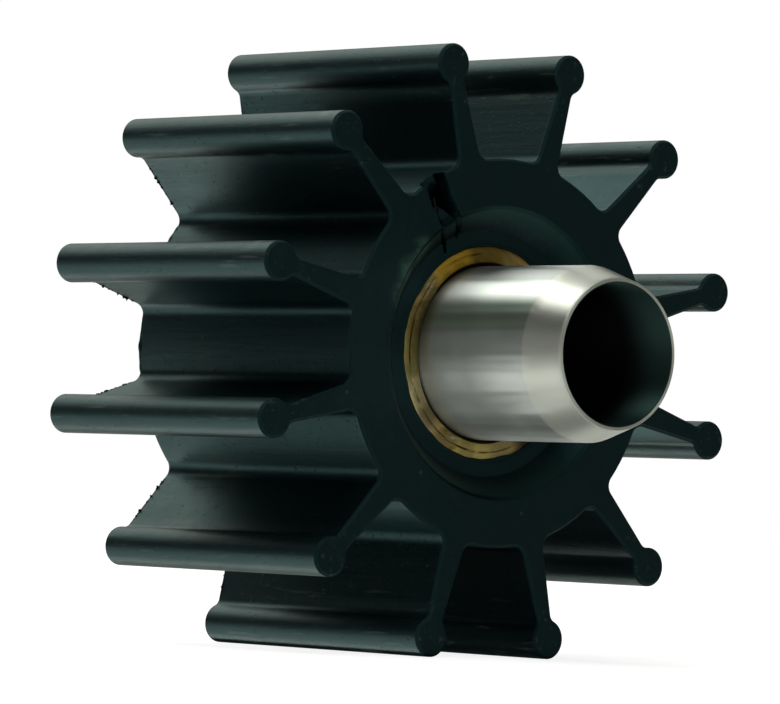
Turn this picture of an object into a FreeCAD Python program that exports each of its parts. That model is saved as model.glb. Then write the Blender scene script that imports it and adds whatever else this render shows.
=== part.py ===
"""Flexible pump impeller: moulded rubber hub with beaded blades, brass bush and steel sleeve.

Frame, in mm: the axis lies along Y and the sleeve's nose points to -Y, Z is up.
The origin is on the axis, half-way along the blades' width.
"""
import math
import os
import FreeCAD
import Part

# Rubber body
BLADE_COUNT = 12
BLADE_WIDTH = 31.4          # along the axis, hub and blades alike
TIP_DIAMETER = 57.2         # over the beads
BEAD_RADIUS = 1.8
NECK_THICKNESS = 1.62       # blade where it runs into its bead
ROOT_THICKNESS = 2.55       # blade where it leaves the hub
NECK_FILLET = 0.8
ROOT_FILLET = 1.1
HUB_RADIUS = 17.7           # floor of the pockets between the blades
EDGE_CHAMFER = 0.22         # broken edge round both end faces

# Recess round the bush, alike in both end faces
RECESS_RIM_RADIUS = 13.4
RECESS_FLOOR_RADIUS = 11.25
RECESS_DEPTH = 2.25

# Brass bush
BUSH_WALL = 1.84
BUSH_EDGE_CHAMFER = 0.15
BUSH_BORE_CHAMFER = 0.45

# Steel sleeve
SLEEVE_DIAMETER = 15.88
SLEEVE_WALL = 1.59
SLEEVE_STANDOUT = 15.8      # nose beyond the rubber's front face
TAPER_LENGTH = 3.9
NOSE_WALL = 0.42            # wall left at the nose by the taper
NOSE_EDGE_CHAMFER = 0.12
BORE_REAR_CHAMFER = 0.4

# Cross slot for the drive pin, through the rear ends of sleeve and bush
DRIVE_SLOT_WIDTH = 4.0
DRIVE_SLOT_DEPTH = 5.0

# Fits between the pieces, on the radius
BUSH_BOND_GAP = 0.0
SLEEVE_PRESS_GAP = 0.0

# Split in the hub's front face, from a pocket floor inwards to the bush
SPLIT_POCKET_COUNT = 1      # pockets from the first blade on, anticlockwise in the front view
SPLIT_WIDTH = 2.5
SPLIT_DEPTH = 4.5
SPLIT_END_NARROWING = 0.45  # width left at the split's end, as a share of its mouth
SPLIT_END_SINKING = 0.5     # height left at the split's end, as a share of its mouth
SPLIT_OVERRUN = 1.2         # cutter beyond the pocket floor and the front face
# Mouth of the split: share of the rubber wall from bush to pocket floor, share of the width across
SPLIT_LEFT_EDGE = [(0.948, -0.01), (0.875, -0.17), (0.783, -0.41), (0.606, -0.46),
                   (0.497, -0.49), (0.334, -0.35), (0.174, -0.06), (0.06, -0.13)]
SPLIT_TONGUE = [(0.08, 0.02), (0.174, 0.14), (0.333, -0.13), (0.471, -0.3), (0.62, -0.3),
                (0.7, -0.16), (0.66, 0.02), (0.535, 0.16), (0.42, 0.3), (0.3, 0.48),
                (0.175, 0.59)]
SPLIT_RIGHT_EDGE = [(0.137, 0.69), (0.2, 0.84), (0.305, 0.76), (0.451, 0.54), (0.6, 0.53),
                    (0.757, 0.49), (0.85, 0.54), (1.0, 0.57)]
TONGUE_ROOT_SHARE = 0.4     # the tongue slopes inwards from here to its tip
TONGUE_ROOT_DROP = 0.15     # below the front face
TONGUE_TIP_DROP = 0.8

# Lip torn up at the split's outer left corner, in the same shares
LIP_OUTLINE = [(0.9, -0.57), (1.045, -0.56), (1.06, -0.42), (1.05, 0.1), (0.9, 0.1)]
LIP_LENGTH = 0.7

# Derived sizes
HALF_WIDTH = BLADE_WIDTH / 2.0
BLADE_PITCH = 360.0 / BLADE_COUNT
FIRST_BLADE_ANGLE = 90.0 + BLADE_PITCH / 2.0    # lets the body rest on two beads
BEAD_CIRCLE_RADIUS = TIP_DIAMETER / 2.0 - BEAD_RADIUS
SLEEVE_RADIUS = SLEEVE_DIAMETER / 2.0
BORE_RADIUS = SLEEVE_RADIUS - SLEEVE_WALL
BUSH_BORE_RADIUS = SLEEVE_RADIUS + SLEEVE_PRESS_GAP
BUSH_RADIUS = BUSH_BORE_RADIUS + BUSH_WALL
HUB_BORE_RADIUS = BUSH_RADIUS + BUSH_BOND_GAP
BUSH_FRONT_Y = -HALF_WIDTH + RECESS_DEPTH
BUSH_REAR_Y = HALF_WIDTH - RECESS_DEPTH
NOSE_Y = -HALF_WIDTH - SLEEVE_STANDOUT
HUB_WALL = HUB_RADIUS - HUB_BORE_RADIUS

AXIS = FreeCAD.Vector(0, 1, 0)
CENTRE = FreeCAD.Vector(0, 0, 0)


def turn(point, angle_deg):
    """Turn a plan point (x, z) about the axis, from +X towards +Z."""
    c = math.cos(math.radians(angle_deg))
    s = math.sin(math.radians(angle_deg))
    return (point[0] * c - point[1] * s, point[0] * s + point[1] * c)


def at(point, y):
    """Plan point (x, z) set at a place along the axis."""
    return FreeCAD.Vector(point[0], y, point[1])


def arc_through(centre, start, end, y, away_from=None):
    """Short arc of a circle from start to end, or the one that leaves a point on its far side."""
    sx, sz = start[0] - centre[0], start[1] - centre[1]
    ex, ez = end[0] - centre[0], end[1] - centre[1]
    radius = math.hypot(sx, sz)
    mx, mz = sx + ex, sz + ez
    if away_from is not None:
        mx, mz = centre[0] - away_from[0], centre[1] - away_from[1]
    scale = radius / math.hypot(mx, mz)
    middle = (centre[0] + mx * scale, centre[1] + mz * scale)
    return Part.Arc(at(start, y), at(middle, y), at(end, y)).toShape()


def blade_side(inset):
    """Points of one side of a blade that points to +X, the side of positive offsets.

    The side is a straight web line with a fillet down to the hub and one up to the bead.
    """
    hub = HUB_RADIUS - inset
    bead = BEAD_RADIUS - inset
    root_fillet = ROOT_FILLET + inset
    neck_fillet = NECK_FILLET + inset
    low = (HUB_RADIUS, ROOT_THICKNESS / 2.0)
    high = (BEAD_CIRCLE_RADIUS - BEAD_RADIUS, NECK_THICKNESS / 2.0)
    length = math.hypot(high[0] - low[0], high[1] - low[1])
    along = ((high[0] - low[0]) / length, (high[1] - low[1]) / length)
    out = (-along[1], along[0])
    line = low[0] * out[0] + low[1] * out[1] - inset

    # Root fillet: touches the hub's circle from outside and the web line
    reach = line + root_fillet
    step = math.sqrt((hub + root_fillet) ** 2 - reach ** 2)
    root_centre = (reach * out[0] + step * along[0], reach * out[1] + step * along[1])
    share = hub / (hub + root_fillet)
    on_hub = (root_centre[0] * share, root_centre[1] * share)
    web_low = (root_centre[0] - root_fillet * out[0], root_centre[1] - root_fillet * out[1])

    # Neck fillet: touches the bead's circle from outside and the web line
    reach = line + neck_fillet
    bead_out = BEAD_CIRCLE_RADIUS * out[0]
    bead_along = BEAD_CIRCLE_RADIUS * along[0]
    step = bead_along - math.sqrt((bead + neck_fillet) ** 2 - (reach - bead_out) ** 2)
    neck_centre = (reach * out[0] + step * along[0], reach * out[1] + step * along[1])
    share = bead / (bead + neck_fillet)
    on_bead = (BEAD_CIRCLE_RADIUS + (neck_centre[0] - BEAD_CIRCLE_RADIUS) * share,
               neck_centre[1] * share)
    web_high = (neck_centre[0] - neck_fillet * out[0], neck_centre[1] - neck_fillet * out[1])
    return on_hub, root_centre, web_low, web_high, neck_centre, on_bead


def mirrored(point):
    return (point[0], -point[1])


def body_section(y, inset):
    """Closed outline of hub and blades in a plane across the axis, inset for the broken edges."""
    on_hub, root_centre, web_low, web_high, neck_centre, on_bead = blade_side(inset)
    bead_centre = (BEAD_CIRCLE_RADIUS, 0.0)
    edges = []
    for index in range(BLADE_COUNT):
        angle = FIRST_BLADE_ANGLE + index * BLADE_PITCH

        def put(point):
            return turn(point, angle)

        edges.append(arc_through(put(mirrored(root_centre)), put(mirrored(on_hub)),
                                 put(mirrored(web_low)), y))
        edges.append(Part.makeLine(at(put(mirrored(web_low)), y), at(put(mirrored(web_high)), y)))
        edges.append(arc_through(put(mirrored(neck_centre)), put(mirrored(web_high)),
                                 put(mirrored(on_bead)), y))
        edges.append(arc_through(put(bead_centre), put(mirrored(on_bead)), put(on_bead), y,
                                 away_from=(0.0, 0.0)))
        edges.append(arc_through(put(neck_centre), put(on_bead), put(web_high), y))
        edges.append(Part.makeLine(at(put(web_high), y), at(put(web_low), y)))
        edges.append(arc_through(put(root_centre), put(web_low), put(on_hub), y))
        next_start = turn(mirrored(on_hub), angle + BLADE_PITCH)
        edges.append(arc_through((0.0, 0.0), put(on_hub), next_start, y))
    return Part.Wire(edges)


def bladed_blank():
    """Hub and blades in one, with the edges of both end faces broken."""
    wires = [body_section(-HALF_WIDTH, EDGE_CHAMFER),
             body_section(-HALF_WIDTH + EDGE_CHAMFER, 0.0),
             body_section(HALF_WIDTH - EDGE_CHAMFER, 0.0),
             body_section(HALF_WIDTH, EDGE_CHAMFER)]
    return Part.makeLoft(wires, True, True)


def turned(profile):
    """Solid of revolution about the axis from a closed list of (radius, y) corners."""
    points = [FreeCAD.Vector(radius, y, 0) for radius, y in profile]
    face = Part.Face(Part.makePolygon(points + points[:1]))
    return face.revolve(CENTRE, AXIS, 360)


def hub_cavity():
    """Room taken out of the hub: seat of the bush and the two dished recesses."""
    return turned([
        (0.0, -HALF_WIDTH),
        (RECESS_RIM_RADIUS, -HALF_WIDTH),
        (RECESS_FLOOR_RADIUS, BUSH_FRONT_Y),
        (HUB_BORE_RADIUS, BUSH_FRONT_Y),
        (HUB_BORE_RADIUS, BUSH_REAR_Y),
        (RECESS_FLOOR_RADIUS, BUSH_REAR_Y),
        (RECESS_RIM_RADIUS, HALF_WIDTH),
        (0.0, HALF_WIDTH),
    ])


def wall_point(share, across, y):
    """Point of the split's pocket: share of the hub wall outwards, shares of the width across."""
    angle = FIRST_BLADE_ANGLE + (SPLIT_POCKET_COUNT - 0.5) * BLADE_PITCH
    radius = HUB_BORE_RADIUS + share * HUB_WALL
    # Shares across count to the right of the outward direction in the front view
    return at(turn((radius, -across * SPLIT_WIDTH), angle), y)


def ruled_solid(rings):
    """Straight-sided solid through closed rings of points that match one to one."""
    return Part.makeLoft([Part.makePolygon(ring + ring[:1]) for ring in rings], True, True)


def face_y(share):
    """Front face at a share of the hub wall: flat outside, dished down to the bush inside."""
    radius = HUB_BORE_RADIUS + share * HUB_WALL
    fall = (RECESS_RIM_RADIUS - radius) / (RECESS_RIM_RADIUS - RECESS_FLOOR_RADIUS)
    return -HALF_WIDTH + RECESS_DEPTH * min(max(fall, 0.0), 1.0)


def split_cutter():
    """Torn split: irregular mouth round a tongue of rubber, narrowing with depth."""
    beyond = 1.0 + SPLIT_OVERRUN / HUB_WALL
    outline = [(beyond, SPLIT_LEFT_EDGE[0][1])]
    outline += SPLIT_LEFT_EDGE
    outline += SPLIT_TONGUE
    outline += SPLIT_RIGHT_EDGE
    outline += [(beyond, SPLIT_RIGHT_EDGE[-1][1])]
    clear = [wall_point(share, across, -HALF_WIDTH - SPLIT_OVERRUN) for share, across in outline]
    mouth = [wall_point(share, across, face_y(share)) for share, across in outline]
    end_y = -HALF_WIDTH + SPLIT_DEPTH
    end = [wall_point(share * SPLIT_END_SINKING, across * SPLIT_END_NARROWING, end_y)
           for share, across in outline]
    return ruled_solid([clear, mouth, end])


def tongue_cutter():
    """Wedge that slopes the tongue's face inwards towards its tip."""
    tip = max(share for share, across in SPLIT_TONGUE)
    sloped = [across for share, across in SPLIT_TONGUE if share > TONGUE_ROOT_SHARE]
    clear_y = -HALF_WIDTH - SPLIT_OVERRUN
    rings = []
    for across in (min(sloped), max(sloped)):
        rings.append([wall_point(TONGUE_ROOT_SHARE, across, clear_y),
                      wall_point(TONGUE_ROOT_SHARE, across, -HALF_WIDTH + TONGUE_ROOT_DROP),
                      wall_point(tip, across, -HALF_WIDTH + TONGUE_TIP_DROP),
                      wall_point(tip, across, clear_y)])
    return ruled_solid(rings)


def torn_lip():
    """Corner of rubber pushed up beside the split, sinking back to the pocket floor."""
    low = min(share for share, across in LIP_OUTLINE)
    high = max(share for share, across in LIP_OUTLINE)
    sinking = (1.0 - low) / (high - low)
    front = [wall_point(share, across, -HALF_WIDTH) for share, across in LIP_OUTLINE]
    rear = [wall_point(low + (share - low) * sinking, across, -HALF_WIDTH + LIP_LENGTH)
            for share, across in LIP_OUTLINE]
    return ruled_solid([front, rear])


def rubber_impeller():
    """Moulded rubber body, split in its front face."""
    body = bladed_blank().cut(hub_cavity())
    body = body.fuse(torn_lip())
    return body.cut(split_cutter().fuse(tongue_cutter())).removeSplitter()


def drive_slot():
    """Room of the drive pin's cross slot, open to the rear."""
    reach = BUSH_RADIUS + DRIVE_SLOT_WIDTH
    corner = FreeCAD.Vector(-reach, BUSH_REAR_Y - DRIVE_SLOT_DEPTH, -DRIVE_SLOT_WIDTH / 2.0)
    return Part.makeBox(2.0 * reach, DRIVE_SLOT_DEPTH + DRIVE_SLOT_WIDTH, DRIVE_SLOT_WIDTH, corner)


def brass_bush():
    """Bush with broken edges and a drive slot."""
    blank = turned([
        (BUSH_BORE_RADIUS + BUSH_BORE_CHAMFER, BUSH_FRONT_Y),
        (BUSH_RADIUS - BUSH_EDGE_CHAMFER, BUSH_FRONT_Y),
        (BUSH_RADIUS, BUSH_FRONT_Y + BUSH_EDGE_CHAMFER),
        (BUSH_RADIUS, BUSH_REAR_Y - BUSH_EDGE_CHAMFER),
        (BUSH_RADIUS - BUSH_EDGE_CHAMFER, BUSH_REAR_Y),
        (BUSH_BORE_RADIUS + BUSH_BORE_CHAMFER, BUSH_REAR_Y),
        (BUSH_BORE_RADIUS, BUSH_REAR_Y - BUSH_BORE_CHAMFER),
        (BUSH_BORE_RADIUS, BUSH_FRONT_Y + BUSH_BORE_CHAMFER),
    ])
    return blank.cut(drive_slot())


def steel_sleeve():
    """Sleeve with a tapered nose, a through bore and a drive slot."""
    nose_radius = BORE_RADIUS + NOSE_WALL
    blank = turned([
        (BORE_RADIUS, NOSE_Y + NOSE_EDGE_CHAMFER),
        (BORE_RADIUS + NOSE_EDGE_CHAMFER, NOSE_Y),
        (nose_radius, NOSE_Y),
        (SLEEVE_RADIUS, NOSE_Y + TAPER_LENGTH),
        (SLEEVE_RADIUS, BUSH_REAR_Y - NOSE_EDGE_CHAMFER),
        (SLEEVE_RADIUS - NOSE_EDGE_CHAMFER, BUSH_REAR_Y),
        (BORE_RADIUS + BORE_REAR_CHAMFER, BUSH_REAR_Y),
        (BORE_RADIUS, BUSH_REAR_Y - BORE_REAR_CHAMFER),
    ])
    return blank.cut(drive_slot())


os.makedirs("parts", exist_ok=True)
rubber_impeller().exportStep("parts/rubber_impeller.step")
brass_bush().exportStep("parts/brass_bush.step")
steel_sleeve().exportStep("parts/steel_sleeve.step")
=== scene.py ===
"""Dressing of the rubber pump impeller: finishes, marks of moulding and wear, studio and camera."""
import math
import bpy
from mathutils import Matrix, Vector


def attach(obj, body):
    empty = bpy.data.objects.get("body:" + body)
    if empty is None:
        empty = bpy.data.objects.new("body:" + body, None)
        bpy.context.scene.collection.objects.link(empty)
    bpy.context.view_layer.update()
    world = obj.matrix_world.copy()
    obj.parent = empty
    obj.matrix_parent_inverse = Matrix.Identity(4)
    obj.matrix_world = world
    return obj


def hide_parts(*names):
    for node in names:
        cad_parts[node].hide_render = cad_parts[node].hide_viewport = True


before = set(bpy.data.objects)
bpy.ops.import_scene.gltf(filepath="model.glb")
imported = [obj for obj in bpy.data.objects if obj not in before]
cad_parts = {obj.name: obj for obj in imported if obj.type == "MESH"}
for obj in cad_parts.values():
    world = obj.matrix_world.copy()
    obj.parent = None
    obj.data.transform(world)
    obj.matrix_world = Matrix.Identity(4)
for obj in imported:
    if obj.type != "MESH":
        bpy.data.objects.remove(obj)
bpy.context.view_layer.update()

MM = 0.001

# The impeller's own sizes, in millimetres; its axis is Y and its sleeve nose points to -Y
HALF_WIDTH = 15.7
FRONT_Y = -HALF_WIDTH
NOSE_Y = -31.5
TAPER_START_Y = -27.6
SLEEVE_RADIUS = 7.94
BORE_RADIUS = 6.35
BUSH_RADIUS = 9.78
BUSH_FACE_Y = 13.45     # either face of the bush, on the floor of its recess
RECESS_RIM_RADIUS = 13.4
HUB_RADIUS = 17.7
BLADE_COUNT = 12
FIRST_BLADE_TURN = 15.0
ROOT_THICKNESS = 2.55
NECK_THICKNESS = 1.62
NECK_RADIUS = 25.0
BEAD_CIRCLE_RADIUS = 26.8
SPLIT_TURN = 120.0      # where the split is, round the axis from +X towards +Z
FLOOR_Z = -27.687

# Moulding and wear that have a shape, in millimetres
SCORE_RADIUS = 9.05     # line scored round the bush's faces
SCORE_DEPTH = 0.14
FRINGE_RADIUS = 17.6    # where the fringe of flash starts to grow from the pocket floors
FRINGE_REACH = 0.14
FLASH_START = 18.9      # flash along the blades' rear edges: from and to this radius, and how high
FLASH_END = 24.2
FLASH_HEIGHT = 0.19
FLASH_Y = 15.38
FLASH_STEPS = 60
FLASH_FOOT = (0.12, 0.24)       # how deep it sits in the blade, and its thickness there
FLASH_TIP = (0.02, 0.10)        # how far it stands out at least, and its thickness there

# Camera, fitted to the bead centres of the photograph. The fit counts in bead circle radii, has the
# front face at y = 0 and the part turned about its axis.
CAMERA_FOCAL_PX = 5791.6
FRAME_WIDTH_PX = 780.0
SENSOR_WIDTH = 36.0
CAMERA_ROLL = -1.17947238       # about the camera's own z, x and y, in degrees
CAMERA_PITCH = 1.34889386
CAMERA_YAW = -39.33829106
CAMERA_SHIFT = (0.380672180, 0.00459813899, 19.6246493)
FITTED_TURN = 4.516852

# The studio round the part. A direction is told by its turn round the part's axis, in degrees from +X
# towards +Z, and by its y: -1 towards the nose, 1 straight behind the part.
STUDIO_TINT = (0.97, 1.0, 0.90, 1.0)    # very faintly warm and green
ROOM_LEVEL = 0.04
FRONT_ROOM = (-0.62, -0.42, 0.15)   # the room in front: y where it is full and starts, brightness
# Panels: turn, half spread, lowest and highest y, brightness. They add up where they overlap.
PANELS = (
    (84, 42, 0.24, 0.89, 1.45),     # softbox over the part
    (76, 26, 0.19, 0.51, 0.7),      # its brighter middle
    (99, 20, 0.67, 0.92, 0.75),     # its brighter rear end
    (108, 13, -0.42, 0.36, 3.9),    # strip light over the nose
    (216, 27, 0.44, 0.87, 2.0),     # reflector behind on the left
    (267, 14, 0.60, 0.84, 4.4),     # lit table behind
    (325, 21, 0.58, 0.87, 0.9),     # lit table behind on the right
    (175, 19, -0.90, 0.22, 0.25),   # wall on the left
    (213, 17, -0.93, 0.22, 0.75),   # reflector low on the left
    (246, 14, -0.92, 0.19, 0.55),   # table in front
    (272, 12, -0.92, 0.19, 0.28),   # table under the nose
    (313, 26, -0.35, 0.16, 1.3),    # table on the right
)
PANEL_EDGE = 5                      # half the width of a panel's soft sides, in degrees
PANEL_END = 0.10                    # and of its soft ends, in y
BACKDROP_TURN = -2                  # the white backdrop hangs where the camera looks
BACKDROP_Y = 0.77
BACKDROP_SPREAD = 12
BACKDROP_EDGE = 3
FLOOR_SIZE = 6.0                    # in metres
FLOOR_TONE = 0.3                    # with its glow, this makes the floor just white and keeps the shadow
FLOOR_GLOW = 0.86
SHADED_TABLE = (-8.0, 18.0, -17.0, 30.0)    # x and y, in millimetres
TABLE_DROP = 0.1                    # how far it lies under the floor


# Shader arithmetic

class Wire:
    """One output socket of a node tree. Arithmetic on it adds Math nodes beside it."""

    def __init__(self, socket):
        self.socket = socket

    def add(self, kind, settings=None, inputs=None, out=0):
        """Add a node: settings first, then values or wires for its sockets."""
        tree = self.socket.id_data
        node = tree.nodes.new("ShaderNode" + kind)
        for key, value in (settings or {}).items():
            setattr(node, key, value)
        for key, value in (inputs or {}).items():
            if isinstance(value, Wire):
                tree.links.new(value.socket, node.inputs[key])
            else:
                node.inputs[key].default_value = value
        return Wire(node.outputs[out])

    def math(self, operation, *values):
        return self.add("Math", {"operation": operation}, dict(enumerate(values)))

    def vector(self, operation, *values):
        return self.add("VectorMath", {"operation": operation}, dict(enumerate(values)))

    def measure(self, operation, *others):
        """A number from this vector and others: a length, a distance or a dot product."""
        return self.add("VectorMath", {"operation": operation}, dict(enumerate((self,) + others)), "Value")

    def __add__(self, other):
        return self.math('ADD', self, other)

    def __radd__(self, other):
        return self.math('ADD', other, self)

    def __sub__(self, other):
        return self.math('SUBTRACT', self, other)

    def __rsub__(self, other):
        return self.math('SUBTRACT', other, self)

    def __mul__(self, other):
        return self.math('MULTIPLY', self, other)

    def __rmul__(self, other):
        return self.math('MULTIPLY', other, self)

    def __truediv__(self, other):
        return self.math('DIVIDE', self, other)

    def __rtruediv__(self, other):
        return self.math('DIVIDE', other, self)

    def __pow__(self, other):
        return self.math('POWER', self, other)

    def step(self, start, end):
        """A soft step: 0 where the value is at start, 1 where it is at end."""
        limits = {"Value": self, "From Min": start, "From Max": end}
        return self.add("MapRange", {"interpolation_type": 'SMOOTHSTEP'}, limits)

    def noise(self, scale, detail=3.0, rough=0.55, warp=0.0):
        """Noise at this wire's vector; scale is in patches to the millimetre."""
        sizes = {"Vector": self, "Scale": scale, "Detail": detail, "Roughness": rough, "Distortion": warp}
        return self.add("TexNoise", None, sizes)

    def stretch(self, x, y, z):
        """The vector with each direction scaled, for a pattern drawn out one way."""
        return self.vector('MULTIPLY', self, (x, y, z))

    def blend(self, low, high):
        """A colour between two, by this wire's value."""
        return self.add("Mix", {"data_type": 'RGBA'}, {0: self, 6: low, 7: high}, 2)


def colour(red, green, blue):
    return (red, green, blue, 1.0)


def facing(turn):
    """The direction square to the axis, so many degrees from +X towards +Z."""
    return (math.cos(math.radians(turn)), 0.0, math.sin(math.radians(turn)))


def sector_edges(spread, soft):
    """Where a sector's soft side is 0 and where it is 1, as cosines."""
    return [math.cos(math.radians(spread + edge)) for edge in (soft, -soft)]


class Finish:
    """A material with its shader, and the surface point in millimetres."""

    def __init__(self, name, **sockets):
        self.material = bpy.data.materials.new(name)
        self.material.use_nodes = True
        tree = self.material.node_tree
        self.shader = tree.nodes["Principled BSDF"]
        for key, value in sockets.items():
            self.shader.inputs[key.replace("_", " ")].default_value = value
        place = Wire(tree.nodes.new("ShaderNodeTexCoord").outputs["Object"])
        self.spot = place.add("VectorMath", {"operation": 'SCALE'}, {0: place, "Scale": 1.0 / MM})

    def feed(self, socket, wire):
        self.material.node_tree.links.new(wire.socket, self.shader.inputs[socket])

    def relief(self, height, depth_mm, strength, base=None):
        """Surface relief from a height of 0 to 1."""
        inputs = {"Height": height, "Distance": depth_mm * MM, "Strength": strength}
        if base is not None:
            inputs["Normal"] = base
        return height.add("Bump", None, inputs)

    def flat(self):
        """The point seen along the shaft axis: its y is left out."""
        return self.spot.stretch(1, 0, 1)

    def along(self):
        """The point's y, which is its place along the shaft axis."""
        return self.spot.add("SeparateXYZ", None, {0: self.spot}, "Y")

    def radius(self):
        """Distance from the shaft axis."""
        return self.flat().measure('LENGTH')

    def near(self, place, outer, inner):
        """1 within the inner distance of a place on the part, in millimetres, 0 beyond the outer."""
        return self.spot.measure('DISTANCE', place).step(outer, inner)

    def near_any(self, places, outer, inner):
        """The same for each of several places, added up."""
        return sum((self.near(place, outer, inner) for place in places), 0.0)

    def sector(self, turn, spread, soft=5.0):
        """1 in a sector round the axis, 0 outside it; degrees from +X towards +Z."""
        way = self.flat().vector('NORMALIZE', self.flat())
        return way.measure('DOT_PRODUCT', facing(turn)).step(*sector_edges(spread, soft))

    def turned(self, across, round_about, along):
        """A vector that follows the turning: radius and length drawn fine, the way round drawn long."""
        way = self.flat().vector('NORMALIZE', self.flat())
        lengthened = way.add("VectorMath", {"operation": 'SCALE'}, {0: way, "Scale": round_about})
        fine = {0: self.radius() * across, 1: self.along() * along, 2: 0.0}
        return way.vector('ADD', self.spot.add("CombineXYZ", None, fine), lengthened)


# Finishes

# Places on the rubber, in millimetres
RECESS_LIGHT_PLACE = (3.5, -15.0, 12.0)       # where the painted light on the recess's cone is brightest, top right
RIM_HIGHLIGHTS = ((-9.7, -15.0, 8.7), (-11.1, -15.2, 6.8), (-11.7, -15.2, 4.7))     # painted highlights, pale, on the left rim of the recess
SCUFFS = ((-26.1, -12.9, 8.4), (-18.9, -13.4, 20.1))    # pale, near the ends of two beads
DENT = (-17.7, -15.7, 19.1)     # in a bead's end
# Olive stains: x, y, z and reach
STAINS = ((-15.6, 7.5, -14.0, 6.0), (-17.6, 6.0, -2.8, 2.6), (-17.4, 1.5, -3.2, 1.8))
# Painted shade in the split, as dull black: share of the rubber wall outwards, millimetres to the right,
# depth, reach
TEAR_SHADE = ((0.90, -0.55, 0.0, 0.85), (0.82, -0.85, 0.0, 0.65), (0.74, -1.05, 0.0, 0.45),
             (0.30, 1.55, 2.5, 1.2), (0.45, 1.3, 2.6, 1.3), (0.75, 0.3, 2.7, 1.9))
JUST_BEHIND_FACE = (FRONT_Y + 0.002, FRONT_Y + 0.015)   # leaves the flat front face out
# Painted shade in the pockets, darker in front: the radii where it comes in and is full, and is full and goes
# out, how much of it lies in front and behind, and between which y it thins
POCKET_RADII = (HUB_RADIUS - 0.8, HUB_RADIUS - 0.4, NECK_RADIUS - 1.6, NECK_RADIUS - 0.4)
POCKET_SHADE = (0.40, 0.12)
POCKET_SHADE_THINS = (-4.0, 10.0)
SOFT_EDGE = 0.14                # radius by which the rubber's edges look rounded

# Patches on the bush's face: turn round the axis, half spread, how strong, colour. The last, near black, is
# painted shadow of the sleeve.
BRASS_PATCHES = (
    (95, 15, 0.85, colour(0.27, 0.18, 0.03)),
    (119, 13, 0.85, colour(0.85, 0.52, 0.05)),
    (163, 9, 0.70, colour(0.24, 0.17, 0.07)),
    (184, 12, 0.70, colour(0.29, 0.26, 0.10)),
    (214, 17, 0.60, colour(0.66, 0.56, 0.34)),
    (222, 4, 0.60, colour(0.16, 0.12, 0.06)),
    (264, 13, 0.85, colour(0.98, 0.80, 0.30)),
    (258, 2, 0.35, colour(0.14, 0.10, 0.04)),
    (285, 9, 0.60, colour(0.70, 0.54, 0.28)),
    # painted shadow of the sleeve, low on the right
    (310, 14, 0.85, colour(0.05, 0.06, 0.045)),
)


def painted_recess_light(finish):
    """Painted light on the recess's cone, strongest at one place."""
    depth = finish.along()
    cone = depth.step(-BUSH_FACE_Y - 0.05, FRONT_Y + 0.4) * depth.step(*JUST_BEHIND_FACE)
    cone = cone * finish.radius().step(RECESS_RIM_RADIUS + 0.6, RECESS_RIM_RADIUS + 0.2)
    return cone * (0.45 + finish.near(RECESS_LIGHT_PLACE, 9.0, 4.0) * 0.55)


def marked(finish, tone, recess_light):
    """The rubber's colour with painted light on the recess's cone and painted highlights on its left rim, and
    with its marks laid on: stains, scuffs and streaks.
    """
    spot = finish.spot
    # Painted light: the recess's cone paler, most at its top right
    tone = recess_light.blend(tone, colour(0.015, 0.042, 0.037))
    # Painted highlights: pale patches on the recess's left rim
    rim_highlight = finish.near_any(RIM_HIGHLIGHTS, 2.0, 0.4) * spot.noise(0.7, 3.0, 0.6).step(0.30, 0.60)
    tone = (rim_highlight * 0.9).blend(tone, colour(0.065, 0.120, 0.092))
    stains = sum((finish.near(place, reach, reach * 0.3) for *place, reach in STAINS), 0.0)
    stains = stains * spot.noise(0.5, 3.0, 0.6).step(0.32, 0.66)
    tone = (stains * 0.7).blend(tone, colour(0.026, 0.028, 0.013))
    scuffs = finish.near_any(SCUFFS, 1.8, 0.3) * spot.noise(1.1, 3.0, 0.6).step(0.42, 0.60)
    streaks = spot.stretch(2.6, 0.22, 2.6).noise(0.8, 3.0, 0.6).step(0.60, 0.70)
    streaks = streaks * finish.radius().step(NECK_RADIUS - 3.0, NECK_RADIUS - 2.0)
    return (scuffs * 0.8 + streaks * 0.3).blend(tone, colour(0.09, 0.11, 0.10))


def painted_shade(finish, grain):
    """Painted shade, as dull black: in the split, along the left of the recess's mouth, and in the pockets,
    darker in front.
    """
    depth = finish.along()
    radius = finish.radius()
    split = sum((finish.near(in_split(*place) / MM, reach, reach * 0.5) for *place, reach in TEAR_SHADE), 0.0)
    mouth = depth.step(FRONT_Y + 0.5, FRONT_Y + 0.35) * depth.step(*JUST_BEHIND_FACE)
    mouth = mouth * radius.step(RECESS_RIM_RADIUS + 0.6, RECESS_RIM_RADIUS + 0.4)
    shade_mask = split * (0.4 + grain) + mouth * finish.sector(190, 80, 20.0) * 0.7
    hub_out, hub_in, bead_in, bead_out = POCKET_RADII
    pocket = radius.step(hub_out, hub_in) * radius.step(bead_out, bead_in)
    pocket = pocket * depth.step(FRONT_Y + 0.2, FRONT_Y + 0.6)
    pocket = pocket * depth.step(HALF_WIDTH - 0.2, HALF_WIDTH - 0.6)
    in_front, behind = POCKET_SHADE
    shade_mask = shade_mask + pocket * (in_front - depth.step(*POCKET_SHADE_THINS) * (in_front - behind))
    return shade_mask.math('MINIMUM', shade_mask, 1.0)


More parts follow.
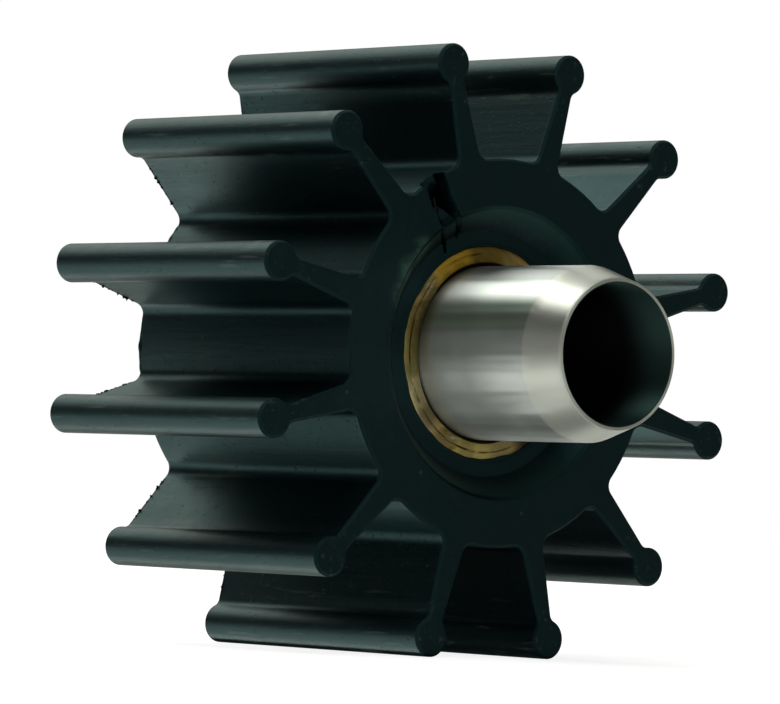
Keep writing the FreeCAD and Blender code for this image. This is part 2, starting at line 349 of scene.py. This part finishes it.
def moulded_rubber():
    """Black neoprene as it comes from the mould: satin, faintly mottled, dusty, with soft edges; with painted
    light on the recess and painted shade in the split and pockets.
    """
    finish = Finish("moulded black rubber", IOR=1.5, Specular_Tint=colour(0.31, 0.92, 1.0))
    spot = finish.spot
    patches = spot.noise(0.16, 3.0, 0.6)
    mottle = spot.noise(0.75, 3.0, 0.6)
    grain = spot.noise(1.3, 4.0, 0.65)
    flow = spot.stretch(1.6, 0.09, 1.6).noise(0.6, 3.0, 0.6)
    tone = patches.step(0.3, 0.7).blend(colour(0.0006, 0.0014, 0.0019), colour(0.0013, 0.0027, 0.0034))
    tone = (mottle.step(0.50, 0.68) * 0.9).blend(tone, colour(0.0042, 0.0036, 0.0064))
    dust = spot.add("TexVoronoi", None, {"Vector": spot, "Scale": 0.42, "Randomness": 1.0}, "Distance")
    specks = dust.step(0.10, 0.05) * spot.noise(0.3, 1.0).step(0.52, 0.62)
    tone = (specks * 0.5).blend(tone, colour(0.06, 0.075, 0.07))
    recess_light = painted_recess_light(finish)
    tone = marked(finish, tone, recess_light)
    # The painted shade takes the gloss away too: a black metal has none
    shade_mask = painted_shade(finish, grain)
    finish.feed("Metallic", shade_mask)
    finish.feed("Base Color", shade_mask.blend(tone, colour(0.0, 0.0, 0.0)))
    depth = finish.along()
    rim = depth.step(FRONT_Y + 0.34, FRONT_Y + 0.26) * depth.step(FRONT_Y, FRONT_Y + 0.04)
    shine = 0.35 + patches * 0.08 + mottle * 0.07 + flow * 0.06 + recess_light * 0.2
    finish.feed("Roughness", shine + rim * 0.3)
    soft = spot.add("Bevel", {"samples": 4}, {"Radius": SOFT_EDGE * MM})
    wavy = finish.relief(flow, 0.055, 0.6, soft)
    pits = spot.noise(2.1, 2.0, 0.5).step(0.66, 0.74)
    dents = grain * 0.5 - pits * 0.8 + finish.near(DENT, 0.9, 0.3)
    finish.feed("Normal", finish.relief(dents, 0.06, 0.6, wavy))
    return finish.material


def torn_rubber():
    """Rubber torn open: dull and rough."""
    finish = Finish("torn rubber", IOR=1.45)
    crumbs = finish.spot.noise(2.5, 4.0, 0.7)
    tone = crumbs.step(0.3, 0.7).blend(colour(0.004, 0.003, 0.005), colour(0.012, 0.010, 0.014))
    finish.feed("Base Color", tone)
    finish.feed("Roughness", 0.6 + crumbs * 0.25)
    finish.feed("Normal", finish.relief(crumbs, 0.15, 0.8))
    return finish.material


def worn_brass():
    """Bush bronze, scraped and stained: golden and ochre patches, pale scrapes, olive and dark stains;
    painted shade at its inner rim and painted shadow of the sleeve low on the right.
    """
    finish = Finish("scraped bush brass", Metallic=1.0)
    scrapes = finish.turned(2.2, 9.0, 1.0).noise(1.0, 3.0, 0.6, 0.4)
    patches = finish.turned(0.5, 4.2, 0.3).noise(1.0, 2.0, 0.5)
    stain = finish.turned(0.9, 5.5, 0.3).noise(1.0, 3.0, 0.6)
    radius = finish.radius()
    tone = patches.step(0.36, 0.64).blend(colour(0.40, 0.30, 0.13), colour(0.70, 0.47, 0.12))
    tone = (scrapes.step(0.55, 0.70) * 0.8).blend(tone, colour(0.80, 0.70, 0.45))
    tone = (stain.step(0.54, 0.66) * 0.75).blend(tone, colour(0.22, 0.17, 0.07))
    for turn, spread, share, patch in BRASS_PATCHES:
        tone = (finish.sector(turn, spread) * share).blend(tone, patch)
    groove = radius.step(SCORE_RADIUS - 0.15, SCORE_RADIUS - 0.05) * finish.sector(215, 65, 25.0)
    groove = groove * radius.step(SCORE_RADIUS + 0.15, SCORE_RADIUS + 0.05)
    tone = (groove * patches.step(0.42, 0.52) * 0.75).blend(tone, colour(0.10, 0.07, 0.03))
    # Painted shade: the dark inner rim where the bush meets the sleeve, wider above and below the sleeve
    wider = finish.sector(100, 35, 20.0) * 0.22 + finish.sector(245, 40, 20.0) * 0.20
    rim = (radius - wider).step(SLEEVE_RADIUS + 0.20, SLEEVE_RADIUS + 0.08)
    tone = rim.blend(tone, colour(0.03, 0.018, 0.008))
    finish.feed("Base Color", tone)
    finish.feed("Roughness", 0.42 + stain * 0.20 - scrapes * 0.08)
    finish.feed("Normal", finish.relief(scrapes + patches * 0.6, 0.08, 0.9))
    return finish.material


def turned_steel():
    """Stainless sleeve, ground bright: its gloss is drawn out along the axis; its bore is rough and painted
    dark as shade; painted shade near the hub and a painted highlight on the nose's lip.
    """
    finish = Finish("ground stainless steel", Metallic=1.0, Anisotropic=0.93)
    depth = finish.along()
    radius = finish.radius()
    lines = finish.turned(9.0, 0.5, 9.0).noise(1.0, 2.0, 0.5)
    cloudy = finish.turned(0.3, 2.6, 0.22).noise(1.0, 3.0, 0.5)
    bore = radius.step(BORE_RADIUS + 0.17, BORE_RADIUS + 0.09)
    taper = depth.step(TAPER_START_Y + 0.15, TAPER_START_Y - 0.15)
    tone = cloudy.step(0.3, 0.7).blend(colour(0.62, 0.65, 0.65), colour(0.70, 0.73, 0.735))
    # A greener, slightly darker band along the sleeve, round 157 degrees
    green_band = finish.sector(157, 9, 5.0)
    tone = (green_band * 0.7).blend(tone, colour(0.58, 0.72, 0.60))
    tone = taper.blend(tone, colour(0.79, 0.80, 0.765))
    # Painted shade: the sleeve darker next to the hub, where it mirrors the dark rubber, most on its upper
    # left
    hub_shade = depth.step(FRONT_Y + 0.5, FRONT_Y + 2.2) * (0.22 + finish.sector(135, 45, 20.0) * 0.48)
    tone = hub_shade.blend(tone, colour(0.13, 0.135, 0.10))
    # Painted highlight: the nose's lip paler, and rougher
    lip_highlight = depth.step(NOSE_Y + 0.30, NOSE_Y + 0.12) * radius.step(BORE_RADIUS + 0.05, BORE_RADIUS + 0.15)
    tone = lip_highlight.blend(tone, colour(0.88, 0.90, 0.86))
    # Painted shade: the bore dark, from dark green at its mouth to near black further in
    bore_shade = depth.step(NOSE_Y + 1.2, NOSE_Y + 6.5)
    bore_shade = bore_shade.blend(colour(0.05, 0.10, 0.095), colour(0.010, 0.009, 0.012))
    finish.feed("Base Color", bore.blend(tone, bore_shade))
    finish.feed("Roughness", 0.38 + cloudy * 0.06 + taper * 0.08 + bore * 0.15 + lip_highlight * 0.25)
    finish.feed("Normal", finish.relief(lines, 0.0006, 1.0))
    return finish.material


def dress(node, material):
    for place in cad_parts[node].material_slots:
        place.material = material


# Pieces

def select_only(piece):
    bpy.ops.object.select_all(action='DESELECT')
    piece.select_set(True)
    bpy.context.view_layer.objects.active = piece


def edit_all(piece):
    """Into edit mode, with all of the piece selected."""
    select_only(piece)
    bpy.ops.object.mode_set(mode='EDIT')
    bpy.ops.mesh.select_all(action='SELECT')


def copy_of(node, name):
    """A piece that starts as a CAD node's shape, its doubles merged."""
    piece = bpy.data.objects.new(name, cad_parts[node].data.copy())
    bpy.context.scene.collection.objects.link(piece)
    edit_all(piece)
    bpy.ops.mesh.remove_doubles(threshold=0.001 * MM)
    bpy.ops.object.mode_set(mode='OBJECT')
    return piece


def soften(piece, width_mm, segments, angle=35.0):
    """Round the sharp edges over."""
    select_only(piece)
    rounding = piece.modifiers.new("rounding", 'BEVEL')
    rounding.width = width_mm * MM
    rounding.segments = segments
    rounding.limit_method = 'ANGLE'
    rounding.angle_limit = math.radians(angle)
    rounding.use_clamp_overlap = True
    bpy.ops.object.modifier_apply(modifier=rounding.name)


def settle(piece, material, angle=40.0):
    """Finish a piece: its material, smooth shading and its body."""
    piece.data.materials.clear()
    piece.data.materials.append(material)
    select_only(piece)
    bpy.ops.object.shade_smooth_by_angle(angle=math.radians(angle))
    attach(piece, "root")


def lathe(name, rings, steps):
    """A turned ring: a circle carried through (radius, y) stations and closed on the first."""
    bpy.ops.object.select_all(action='DESELECT')
    radius, y = rings[0]
    bpy.ops.mesh.primitive_circle_add(vertices=steps, radius=radius * MM, rotation=(math.pi / 2, 0, 0))
    piece = bpy.context.active_object
    piece.name = piece.data.name = name
    piece.location = (0, y * MM, 0)
    bpy.ops.object.transform_apply(location=True, rotation=True, scale=True)
    edit_all(piece)
    for next_radius, next_y in rings[1:] + rings[:1]:
        bpy.ops.mesh.extrude_region_move(TRANSFORM_OT_translate={"value": (0, (next_y - y) * MM, 0)})
        share = next_radius / radius
        bpy.ops.transform.resize(value=(share, 1, share), center_override=(0, next_y * MM, 0))
        radius, y = next_radius, next_y
    bpy.ops.mesh.select_all(action='SELECT')
    bpy.ops.mesh.remove_doubles(threshold=0.002 * MM)
    bpy.ops.mesh.normals_make_consistent(inside=False)
    bpy.ops.object.mode_set(mode='OBJECT')
    return piece


def wander(angle, seed):
    """An uneven line round the axis, between about -1 and 1."""
    waves = ((3, 0.9), (5, 0.7), (8, 0.6), (13, 0.5), (21, 0.4), (34, 0.3))
    return sum(size * math.sin(count * angle + seed * (count + 1.7)) for count, size in waves) / 1.8


def shaft_bush(material):
    """The bush: a turned ring with a flat land, scored round in places, and just broken edges."""
    land = [(BUSH_RADIUS, 0.15), (BUSH_RADIUS - 0.12, 0.01), (9.28, 0.0), (9.12, 0.0),
            (SCORE_RADIUS, SCORE_DEPTH), (8.99, 0.0), (8.12, 0.0), (8.04, 0.05), (7.945, 0.32)]
    rings = [(radius, depth - BUSH_FACE_Y) for radius, depth in land]
    rings += [(radius, BUSH_FACE_Y - depth) for radius, depth in reversed(land)]
    piece = lathe("shaft_bush", rings, 240)
    for corner in piece.data.vertices:
        x, y, z = corner.co
        if abs(math.hypot(x, z) / MM - SCORE_RADIUS) < 0.02:
            # The scoring comes and goes round the face
            depth = SCORE_DEPTH * max(0.0, min(1.0, 0.45 + wander(math.atan2(z, x), 2.6)))
            corner.co = (x, math.copysign(BUSH_FACE_Y - depth, y) * MM, z)
    settle(piece, material, 50.0)
    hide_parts("brass_bush")


def bond_line(name, end, seed, material):
    """Rubber crept over the bush's rim from the mould, its inner edge uneven."""
    swell = [(10.20, -0.05), (9.98, 0.03), (9.86, 0.06), (9.76, 0.06), (9.70, 0.01), (9.74, -0.10)]
    piece = lathe(name, [(radius, (BUSH_FACE_Y + height) * end) for radius, height in swell], 240)
    for corner in piece.data.vertices:
        x, y, z = corner.co
        if math.hypot(x, z) < (BUSH_RADIUS + 0.02) * MM:
            creep = 1.0 - 0.010 * wander(math.atan2(z, x), seed)
            corner.co = (x * creep, y, z * creep)
    settle(piece, material, 60.0)


def ragged_flash(name, material):
    """Thin fringe of flash left by the mould round the rear edge of the pocket floors, torn off unevenly."""
    rings = [(17.40, 15.20), (17.66, 15.30), (17.74, 15.50), (17.70, 15.62), (17.40, 15.66)]
    piece = lathe(name, rings, 720)
    for corner in piece.data.vertices:
        x, y, z = corner.co
        radius = math.hypot(x, z)
        if radius > FRINGE_RADIUS * MM:
            angle = math.atan2(z, x)
            share = (radius / MM - FRINGE_RADIUS) / FRINGE_REACH
            rag = max(0.0, 0.5 * wander(angle, 5.2) + 0.5 * wander(3.0 * angle, 0.7))
            growth = 1.0 + (0.30 * rag - 0.10) * share * MM / radius
            corner.co = (x * growth, y, z * growth)
    settle(piece, material, 60.0)


def flash_strip(blade, side):
    """Ragged fringe of flash on one side of one blade's rear edge, between the root and the neck."""
    bpy.ops.object.select_all(action='DESELECT')
    bpy.ops.mesh.primitive_plane_add(size=1.0, rotation=(0, math.pi / 2, 0))
    strip = bpy.context.active_object
    bpy.ops.object.transform_apply(location=False, rotation=True, scale=False)
    edit_all(strip)
    for _ in range(FLASH_STEPS):
        bpy.ops.mesh.extrude_region_move(TRANSFORM_OT_translate={"value": (1.0, 0, 0)})
    bpy.ops.mesh.select_all(action='SELECT')
    bpy.ops.mesh.normals_make_consistent(inside=False)
    bpy.ops.object.mode_set(mode='OBJECT')
    turn = FIRST_BLADE_TURN + 360.0 / BLADE_COUNT * blade
    out = Vector(facing(turn))
    across = Vector(facing(turn + 90.0)) * side
    for corner in strip.data.vertices:
        x, y, z = corner.co
        place = x / FLASH_STEPS
        radius = FLASH_START + place * (FLASH_END - FLASH_START)
        thinned = (radius - HUB_RADIUS) / (NECK_RADIUS - HUB_RADIUS)
        half = (ROOT_THICKNESS + (NECK_THICKNESS - ROOT_THICKNESS) * thinned) / 2
        sink, foot = FLASH_FOOT
        stand, tip = FLASH_TIP
        rag = 0.4 * wander(place * 3.1, blade + side * 0.37) + 0.7 * wander(place * 11.3, side * 3.1 + blade)
        grown = FLASH_HEIGHT * max(0.0, rag) * min(1.0, 8.0 * min(place, 1.0 - place))
        height = half - sink if z < 0 else half + stand + grown
        depth = FLASH_Y + y * (foot if z < 0 else tip)
        corner.co = (out * radius + across * height + Vector((0, depth, 0))) * MM
    return strip


def blade_flash(name, material):
    """The flash of all blades, both sides, as one piece."""
    strips = [flash_strip(blade, side) for blade in range(BLADE_COUNT) for side in (-1, 1)]
    bpy.ops.object.select_all(action='DESELECT')
    for strip in strips:
        strip.select_set(True)
    piece = strips[0]
    bpy.context.view_layer.objects.active = piece
    bpy.ops.object.join()
    piece.name = piece.data.name = name
    edit_all(piece)
    bpy.ops.mesh.normals_make_consistent(inside=False)
    bpy.ops.object.mode_set(mode='OBJECT')
    settle(piece, material, 60.0)


def in_split(share, across, depth):
    """Point of the split, in metres: share of the rubber wall outwards, millimetres to the right, depth."""
    radius = BUSH_RADIUS + share * (HUB_RADIUS - BUSH_RADIUS)
    out = Vector(facing(SPLIT_TURN))
    right = Vector(facing(SPLIT_TURN - 90.0))
    return (out * radius + right * across + Vector((0, FRONT_Y + depth, 0))) * MM


def torn_shred(name, start, end, width, thickness, lean, seed, material):
    """A rough shred of rubber inside the split, lying between two points of it."""
    first, last = in_split(*start), in_split(*end)
    bpy.ops.object.select_all(action='DESELECT')
    bpy.ops.mesh.primitive_cube_add(size=1.0)
    piece = bpy.context.active_object
    piece.name = piece.data.name = name
    piece.dimensions = ((last - first).length, thickness * MM, width * MM)
    bpy.ops.object.transform_apply(location=False, rotation=False, scale=True)
    edit_all(piece)
    bpy.ops.mesh.subdivide(number_cuts=7, smoothness=0.0, fractal=0.9, fractal_along_normal=0.3, seed=seed)
    bpy.ops.mesh.vertices_smooth(factor=0.5, repeat=1)
    bpy.ops.mesh.normals_make_consistent(inside=False)
    bpy.ops.object.mode_set(mode='OBJECT')
    along = (last - first).normalized()
    across = Vector((0, 1, 0)).cross(along).normalized()
    turned = Matrix((along, along.cross(across) * -1.0, across)).transposed()
    piece.matrix_world = (Matrix.Translation((first + last) / 2)
                          @ (Matrix.Rotation(math.radians(lean), 3, along) @ turned).to_4x4())
    select_only(piece)
    bpy.ops.object.transform_apply(location=True, rotation=True, scale=True)
    settle(piece, material, 60.0)


def shaft_sleeve(material):
    """The steel sleeve, its rims just broken; its gloss runs along the axis."""
    piece = copy_of("steel_sleeve", "shaft_sleeve")
    soften(piece, 0.10, 3)
    # A texture space far off to one side gives the anisotropic gloss one direction, the axis
    piece.data.use_auto_texspace = False
    piece.data.texspace_location = (-1000.0, 0.0, 0.0)
    piece.data.texspace_size = (1.0, 1.0, 1.0)
    settle(piece, material)
    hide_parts("steel_sleeve")


# Studio

def rotation(axis, degrees):
    return Matrix.Rotation(math.radians(degrees), 3, axis)


def add_camera():
    """Camera at the photograph's place, looking at the front face from its left."""
    base = Matrix(((1, 0, 0), (0, 0, -1), (0, 1, 0)))
    look = rotation('Z', CAMERA_ROLL) @ rotation('X', CAMERA_PITCH) @ rotation('Y', CAMERA_YAW) @ base
    place = -(look.transposed() @ (Vector(CAMERA_SHIFT) * BEAD_CIRCLE_RADIUS * MM))
    axes = Matrix((look[0], -look[1], -look[2])).transposed()
    # The part stands on two beads, so the fitted turn comes off again
    upright = rotation('Y', -FITTED_TURN)
    place = upright @ place
    place.y += FRONT_Y * MM
    axes = upright @ axes
    data = bpy.data.cameras.new("camera")
    data.sensor_fit = 'HORIZONTAL'
    data.sensor_width = SENSOR_WIDTH
    data.lens = CAMERA_FOCAL_PX / FRAME_WIDTH_PX * SENSOR_WIDTH
    data.clip_start = 0.01
    data.clip_end = 20.0
    camera = bpy.data.objects.new("camera", data)
    camera.matrix_world = Matrix.Translation(place) @ axes.to_4x4()
    bpy.context.scene.collection.objects.link(camera)
    bpy.context.scene.camera = camera


def panel(way, level, turn, spread, y_low, y_high):
    """Where the studio shows one panel: a sector round the part's axis, from one y of the view to another."""
    sideways = way.measure('DOT_PRODUCT', facing(turn)) / (1.0001 - level * level) ** 0.5
    inside = sideways.step(*sector_edges(spread, PANEL_EDGE))
    from_low = level.step(y_low - PANEL_END, y_low + PANEL_END)
    to_high = level.step(y_high + PANEL_END, y_high - PANEL_END)
    return inside * from_low * to_high


def studio_world():
    """White for the camera; for the part's surfaces a dim room with pale panels and the white backdrop."""
    scene = bpy.context.scene
    scene.world = bpy.data.worlds.new("studio")
    scene.world.use_nodes = True
    tree = scene.world.node_tree
    tree.nodes.clear()
    way = Wire(tree.nodes.new("ShaderNodeTexCoord").outputs["Generated"])
    level = way.measure('DOT_PRODUCT', (0.0, 1.0, 0.0))
    full, start, brightness = FRONT_ROOM
    light = ROOM_LEVEL + brightness * level.step(start, full)
    for turn, spread, y_low, y_high, brightness in PANELS:
        light = light + brightness * panel(way, level, turn, spread, y_low, y_high)
    rays = tree.nodes.new("ShaderNodeLightPath").outputs
    camera = Wire(rays["Is Camera Ray"])
    glossy = Wire(rays["Is Glossy Ray"])
    through = Wire(rays["Is Transmission Ray"])
    side = (1.0 - BACKDROP_Y ** 2) ** 0.5
    x, y, z = facing(BACKDROP_TURN)
    middle = way.measure('DOT_PRODUCT', (x * side, BACKDROP_Y, z * side))
    backdrop = middle.step(*sector_edges(BACKDROP_SPREAD, BACKDROP_EDGE))
    backdrop = backdrop * glossy.math('MAXIMUM', glossy, through)
    white = camera.math('MAXIMUM', camera, backdrop)
    strength = white.math('MAXIMUM', white, light)
    tint = white.blend(STUDIO_TINT, colour(1, 1, 1))
    back = strength.add("Background", None, {"Color": tint, "Strength": strength})
    out = tree.nodes.new("ShaderNodeOutputWorld")
    tree.links.new(back.socket, out.inputs["Surface"])


def floor():
    """White floor under the two lowest beads; it takes the part's soft shadow."""
    bpy.ops.object.select_all(action='DESELECT')
    bpy.ops.mesh.primitive_plane_add(size=FLOOR_SIZE, location=(0, 0, FLOOR_Z * MM))
    sheet = bpy.context.active_object
    sheet.name = "floor"
    finish = Finish("white floor", Roughness=0.9, Base_Color=colour(FLOOR_TONE, FLOOR_TONE, FLOOR_TONE),
                    Emission_Color=colour(1, 1, 1), Emission_Strength=FLOOR_GLOW)
    sheet.data.materials.append(finish.material)
    # The panels of the studio stand in for the floor's own light in the part's reflections
    sheet.visible_diffuse = sheet.visible_glossy = sheet.visible_transmission = sheet.visible_shadow = False


def shaded_table():
    """The table right under the part, dark in the part's own shade; only the part's surfaces see it."""
    x_low, x_high, y_low, y_high = SHADED_TABLE
    bpy.ops.object.select_all(action='DESELECT')
    middle = ((x_low + x_high) / 2 * MM, (y_low + y_high) / 2 * MM, (FLOOR_Z - TABLE_DROP) * MM)
    bpy.ops.mesh.primitive_plane_add(size=1.0, location=middle)
    card = bpy.context.active_object
    card.name = "shaded_table"
    card.dimensions = ((x_high - x_low) * MM, (y_high - y_low) * MM, 0.0)
    finish = Finish("shaded table", Roughness=1.0)
    cloth = finish.spot.noise(0.4, 3.0, 0.6)
    finish.feed("Base Color", cloth.blend(colour(0.004, 0.006, 0.006), colour(0.010, 0.012, 0.012)))
    card.data.materials.append(finish.material)
    card.visible_camera = card.visible_diffuse = card.visible_shadow = False


add_camera()
rubber = moulded_rubber()
dress("rubber_impeller", rubber)
shaft_bush(worn_brass())
bond_line("front_bond_line", -1, 1.3, rubber)
bond_line("rear_bond_line", 1, 4.1, rubber)
ragged_flash("rear_mould_flash", rubber)
blade_flash("blade_flash", rubber)
torn = torn_rubber()
torn_shred("torn_fold", (0.97, -0.25, 1.3), (0.58, -0.80, 1.5), 1.1, 0.9, 30.0, 3, torn)
torn_shred("torn_strand", (0.60, 0.75, 2.2), (0.42, -0.30, 1.9), 0.5, 0.5, -20.0, 8, torn)
shaft_sleeve(turned_steel())
studio_world()
floor()
shaded_table()

scene = bpy.context.scene
scene.view_settings.view_transform = 'Standard'
